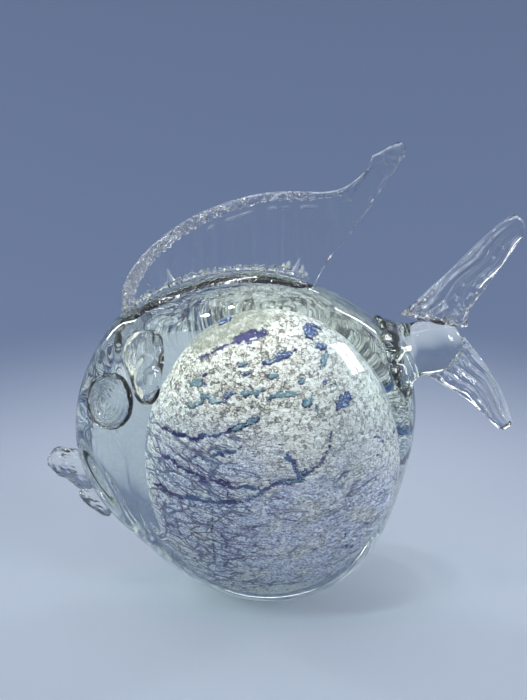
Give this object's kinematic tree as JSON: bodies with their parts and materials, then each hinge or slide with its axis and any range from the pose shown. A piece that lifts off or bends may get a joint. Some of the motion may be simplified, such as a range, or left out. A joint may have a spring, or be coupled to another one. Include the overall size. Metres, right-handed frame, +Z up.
{
  "type": "glass fish figurine",
  "caption": "Solid glass fish ornament: a round clear body cased over crackled silver leaf, with clear fins, tail, lips and eyes, standing on a ground flat.",
  "frame": {"origin": "middle of the ground flat under the belly", "axes": "+Z up, the head looks along -X, +Y to the fish's right"},
  "size_m": [0.1523, 0.064, 0.151],
  "materials": {
    "clear_glass": "fire-polished clear glass with a faint green tint",
    "silver_leaf": "crackled silver leaf sealed in glass",
    "cobalt_glass": "dense cobalt blue glass",
    "turquoise_glass": "dense turquoise glass",
    "violet_glass": "dense blue-violet glass"
  },
  "bodies": {
    "root": {"clear_casing": "clear_glass", "silver_leaf": "silver_leaf", "cobalt_chips": "cobalt_glass", "turquoise_chips": "turquoise_glass", "colour_core": "violet_glass", "dorsal_fin": "clear_glass", "tail_knob": "clear_glass", "upper_tail_lobe": "clear_glass", "lower_tail_lobe": "clear_glass", "upper_lip": "clear_glass", "lower_lip": "clear_glass", "left_eye": "clear_glass", "right_eye": "clear_glass", "left_pectoral_fin": "clear_glass", "right_pectoral_fin": "clear_glass"}
  },
  "joints": []
}
